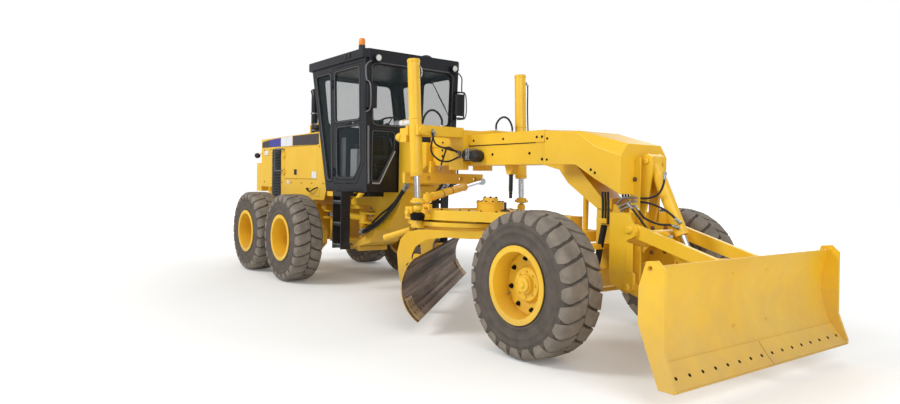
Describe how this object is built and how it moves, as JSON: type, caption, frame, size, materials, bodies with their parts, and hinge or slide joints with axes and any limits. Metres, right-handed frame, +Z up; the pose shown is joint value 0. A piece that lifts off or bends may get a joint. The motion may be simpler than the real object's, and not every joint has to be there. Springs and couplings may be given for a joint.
{
  "type": "motor grader",
  "caption": "Articulated motor grader with a turning mouldboard under its long frame, a front dozer blade, a glazed cab and tandem rear wheels.",
  "frame": {"origin": "on the ground under the middle of the machine's outline, which the turned blade widens to the right, so the machine's own middle plane is at y = 0.1309 m", "axes": "+X forward, +Y to the driver's left, +Z up"},
  "size_m": [10.14, 2.9617, 3.55],
  "materials": {
    "paint": "machine yellow gloss paint",
    "cab_paint": "black satin paint",
    "tyre": "dusty rubber",
    "rod": "polished rods",
    "blade_steel": "bare worn blade steel",
    "glass": "tinted glass",
    "cast": "dark machinery",
    "seat": "seat and trim"
  },
  "bodies": {
    "front_frame": {"front_frame": "paint", "gooseneck_cover": "paint", "lift_saddle": "paint", "front_axle": "paint", "dozer_bracket": "paint", "cab_shell": "cab_paint", "cab_roof": "cab_paint", "cab_glass": "glass", "cab_interior": "seat", "ladders": "cab_paint", "mirrors": "cab_paint"},
    "rear_frame": {"rear_frame": "paint", "engine_hood": "paint", "engine_block": "cast", "tandem_cases": "paint", "exhaust_stack": "cab_paint"},
    "cab_door_right": {"cab_door_right": "cab_paint", "door_glass_right": "glass"},
    "cab_door_left": {"cab_door_left": "cab_paint", "door_glass_left": "glass"},
    "hood_door_right": {"hood_door_right": "paint"},
    "hood_door_left": {"hood_door_left": "paint"},
    "knuckle_right": {"knuckle_right": "paint"},
    "knuckle_left": {"knuckle_left": "paint"},
    "tie_rod": {"tie_rod": "paint"},
    "artic_barrel_right": {"artic_barrel_right": "paint"},
    "artic_barrel_left": {"artic_barrel_left": "paint"},
    "artic_rod_right": {"artic_rod_right": "rod"},
    "artic_rod_left": {"artic_rod_left": "rod"},
    "drawbar_ball": {"drawbar_ball": "paint"},
    "drawbar": {"drawbar": "paint"},
    "circle": {"circle": "paint", "circle_gear": "cast"},
    "circle_pinion": {"circle_pinion": "cast"},
    "tilt_frame": {"tilt_frame": "paint"},
    "mouldboard": {"mouldboard": "blade_steel"},
    "lift_barrel_right": {"lift_barrel_right": "paint"},
    "lift_barrel_left": {"lift_barrel_left": "paint"},
    "lift_rod_right": {"lift_rod_right": "rod"},
    "lift_rod_left": {"lift_rod_left": "rod"},
    "shift_yoke": {"shift_yoke": "paint"},
    "shift_barrel": {"shift_barrel": "paint"},
    "shift_rod": {"shift_rod": "rod"},
    "push_arms": {"push_arms": "paint"},
    "push_links": {"push_links": "paint"},
    "front_blade": {"front_blade": "paint"},
    "dozer_barrel": {"dozer_barrel": "paint"},
    "dozer_rod": {"dozer_rod": "rod"},
    "wheel_front_right": {"tyre_front_right": "tyre", "rim_front_right": "paint"},
    "wheel_front_left": {"tyre_front_left": "tyre", "rim_front_left": "paint"},
    "wheel_middle_right": {"tyre_middle_right": "tyre", "rim_middle_right": "paint"},
    "wheel_middle_left": {"tyre_middle_left": "tyre", "rim_middle_left": "paint"},
    "wheel_rear_right": {"tyre_rear_right": "tyre", "rim_rear_right": "paint"},
    "wheel_rear_left": {"tyre_rear_left": "tyre", "rim_rear_left": "paint"}
  },
  "joints": [
    {"name": "articulation", "type": "hinge", "parent": "front_frame", "child": "rear_frame", "pos_m": [-1.72, 0.13092, 0.9], "axis": [0, 0, 1], "range_deg": [-20, 20]},
    {"name": "wheel_front_right_spin", "type": "hinge", "parent": "knuckle_right", "child": "wheel_front_right", "pos_m": [3.38, -0.94908, 0.675], "axis": [0, 1, 0], "continuous": true},
    {"name": "wheel_front_left_spin", "type": "hinge", "parent": "knuckle_left", "child": "wheel_front_left", "pos_m": [3.38, 1.21092, 0.675], "axis": [0, 1, 0], "continuous": true},
    {"name": "wheel_middle_right_spin", "type": "hinge", "parent": "rear_frame", "child": "wheel_middle_right", "pos_m": [-2.005, -0.94908, 0.675], "axis": [0, 1, 0], "continuous": true},
    {"name": "wheel_middle_left_spin", "type": "hinge", "parent": "rear_frame", "child": "wheel_middle_left", "pos_m": [-2.005, 1.21092, 0.675], "axis": [0, 1, 0], "continuous": true},
    {"name": "wheel_rear_right_spin", "type": "hinge", "parent": "rear_frame", "child": "wheel_rear_right", "pos_m": [-3.515, -0.94908, 0.675], "axis": [0, 1, 0], "continuous": true},
    {"name": "wheel_rear_left_spin", "type": "hinge", "parent": "rear_frame", "child": "wheel_rear_left", "pos_m": [-3.515, 1.21092, 0.675], "axis": [0, 1, 0], "continuous": true},
    {"name": "steer_right", "type": "hinge", "parent": "front_frame", "child": "knuckle_right", "pos_m": [3.38, -0.71908, 0.675], "axis": [0, 0, 1], "range_deg": [-45, 45]},
    {"name": "steer_left", "type": "hinge", "parent": "front_frame", "child": "knuckle_left", "pos_m": [3.38, 0.98092, 0.675], "axis": [0, 0, 1], "range_deg": [-45, 45]},
    {"name": "tie_slide", "type": "slide", "parent": "front_frame", "child": "tie_rod", "axis": [0, 1, 0], "range_m": [-0.1277, 0.1277]},
    {"name": "cab_door_right_swing", "type": "hinge", "parent": "front_frame", "child": "cab_door_right", "pos_m": [-1.27, -0.65984, 2.39925], "axis": [0, 0.0273, -0.9996], "range_deg": [0, 85]},
    {"name": "cab_door_left_swing", "type": "hinge", "parent": "front_frame", "child": "cab_door_left", "pos_m": [-1.27, 0.92168, 2.39925], "axis": [0, 0.0273, 0.9996], "range_deg": [0, 85]},
    {"name": "hood_door_right_swing", "type": "hinge", "parent": "rear_frame", "child": "hood_door_right", "pos_m": [-3.52, -0.48308, 1.9], "axis": [0, 0, -1], "range_deg": [0, 90]},
    {"name": "hood_door_left_swing", "type": "hinge", "parent": "rear_frame", "child": "hood_door_left", "pos_m": [-3.52, 0.74492, 1.9], "axis": [0, 0, 1], "range_deg": [0, 90]},
    {"name": "artic_barrel_right_swing", "type": "hinge", "parent": "front_frame", "child": "artic_barrel_right", "pos_m": [-1.1, -0.18908, 1.02], "axis": [0, 0, 1], "range_deg": [-8.5, 8.5]},
    {"name": "artic_rod_right_slide", "type": "slide", "parent": "artic_barrel_right", "child": "artic_rod_right", "axis": [-0.9983, -0.0587, 0], "range_m": [-0.125, 0.125]},
    {"name": "artic_barrel_left_swing", "type": "hinge", "parent": "front_frame", "child": "artic_barrel_left", "pos_m": [-1.1, 0.45092, 1.02], "axis": [0, 0, 1], "range_deg": [-8.5, 8.5]},
    {"name": "artic_rod_left_slide", "type": "slide", "parent": "artic_barrel_left", "child": "artic_rod_left", "axis": [-0.9983, 0.0587, 0], "range_m": [-0.125, 0.125]},
    {"name": "drawbar_swing", "type": "hinge", "parent": "front_frame", "child": "drawbar_ball", "pos_m": [3.03, 0.13092, 1.05], "axis": [0, 0, 1], "range_deg": [-8, 8]},
    {"name": "drawbar_lift", "type": "hinge", "parent": "drawbar_ball", "child": "drawbar", "pos_m": [3.03, 0.13092, 1.05], "axis": [0, 1, 0], "range_deg": [-2, 6]},
    {"name": "circle_turn", "type": "hinge", "parent": "drawbar", "child": "circle", "pos_m": [1.03, 0.13092, 1.075], "axis": [0, 0, 1], "continuous": true},
    {"name": "circle_pinion_spin", "type": "hinge", "parent": "drawbar", "child": "circle_pinion", "pos_m": [1.48, 0.13092, 1.075], "axis": [0, 0, 1], "continuous": true},
    {"name": "blade_tilt", "type": "hinge", "parent": "circle", "child": "tilt_frame", "pos_m": [0.58703, -0.30287, 0.31], "axis": [-0.6997, 0.7145, 0], "range_deg": [-10, 24]},
    {"name": "blade_shift", "type": "slide", "parent": "tilt_frame", "child": "mouldboard", "axis": [-0.6997, 0.7145, 0], "range_m": [-0.25, 0.48]},
    {"name": "lift_barrel_right_swing", "type": "hinge", "parent": "front_frame", "child": "lift_barrel_right", "pos_m": [1.07254, -0.72714, 2.2], "axis": [1, 0, 0], "range_deg": [-16.5, 16.5]},
    {"name": "lift_rod_right_slide", "type": "slide", "parent": "lift_barrel_right", "child": "lift_rod_right", "axis": [-0.0613, -0.0139, 0.998], "range_m": [-0.067, 0.2]},
    {"name": "lift_barrel_left_swing", "type": "hinge", "parent": "front_frame", "child": "lift_barrel_left", "pos_m": [1.07254, 0.98898, 2.2], "axis": [1, 0, 0], "range_deg": [-16.5, 16.5]},
    {"name": "lift_rod_left_slide", "type": "slide", "parent": "lift_barrel_left", "child": "lift_rod_left", "axis": [-0.0613, 0.0139, 0.998], "range_m": [-0.067, 0.2]},
    {"name": "shift_yoke_tilt", "type": "hinge", "parent": "drawbar", "child": "shift_yoke", "pos_m": [0.98, -0.46908, 1.28], "axis": [0.9479, 0.3186, 0], "range_deg": [-12, 4]},
    {"name": "shift_barrel_swing", "type": "hinge", "parent": "shift_yoke", "child": "shift_barrel", "pos_m": [0.98, -0.46908, 1.3804], "axis": [0, 0, 1], "range_deg": [-9, 9]},
    {"name": "shift_rod_slide", "type": "slide", "parent": "shift_barrel", "child": "shift_rod", "axis": [-0.3139, 0.9337, 0.1723], "range_m": [-0.302, 0.302]},
    {"name": "push_arms_lift", "type": "hinge", "parent": "front_frame", "child": "push_arms", "pos_m": [3.88, 0.13092, 1.18], "axis": [0, 1, 0], "range_deg": [-30, 10]},
    {"name": "push_links_lift", "type": "hinge", "parent": "front_frame", "child": "push_links", "pos_m": [3.87, 0.13092, 0.65], "axis": [0, 1, 0], "range_deg": [-30, 10]},
    {"name": "front_blade_level", "type": "hinge", "parent": "push_arms", "child": "front_blade", "pos_m": [4.7, 0.13092, 0.95], "axis": [0, 1, 0], "range_deg": [-10, 30]},
    {"name": "dozer_barrel_swing", "type": "hinge", "parent": "front_frame", "child": "dozer_barrel", "pos_m": [3.85, 0.13092, 1.82], "axis": [0, 1, 0], "range_deg": [-13.5, 4.6]},
    {"name": "dozer_rod_slide", "type": "slide", "parent": "dozer_barrel", "child": "dozer_rod", "axis": [0.4472, 0, -0.8944], "range_m": [-0.1625, 0.0545]}
  ],
  "couplings": [
    {"joint": "steer_left", "follows": "steer_right", "ratio": 1},
    {"joint": "tie_slide", "follows": "steer_right", "m_per_rad": -0.162},
    {"joint": "artic_barrel_right_swing", "follows": "articulation", "ratio": 0.41},
    {"joint": "artic_rod_right_slide", "follows": "articulation", "m_per_rad": -0.354},
    {"joint": "artic_barrel_left_swing", "follows": "articulation", "ratio": 0.41},
    {"joint": "artic_rod_left_slide", "follows": "articulation", "m_per_rad": 0.354},
    {"joint": "circle_pinion_spin", "follows": "circle_turn", "ratio": 4},
    {"joint": "lift_barrel_right_swing", "follows": "drawbar_swing", "ratio": -2.03},
    {"joint": "lift_rod_right_slide", "follows": "drawbar_lift", "m_per_rad": 1.9},
    {"joint": "lift_barrel_left_swing", "follows": "drawbar_swing", "ratio": -2.03},
    {"joint": "lift_rod_left_slide", "follows": "drawbar_lift", "m_per_rad": 1.9},
    {"joint": "shift_yoke_tilt", "follows": "drawbar_lift", "ratio": -1.951},
    {"joint": "shift_barrel_swing", "follows": "drawbar_swing", "ratio": -1.1},
    {"joint": "shift_rod_slide", "follows": "drawbar_swing", "m_per_rad": 2.157},
    {"joint": "push_links_lift", "follows": "push_arms_lift", "ratio": 1},
    {"joint": "front_blade_level", "follows": "push_arms_lift", "ratio": -1},
    {"joint": "dozer_barrel_swing", "follows": "push_arms_lift", "ratio": 0.447},
    {"joint": "dozer_rod_slide", "follows": "push_arms_lift", "m_per_rad": 0.31}
  ]
}
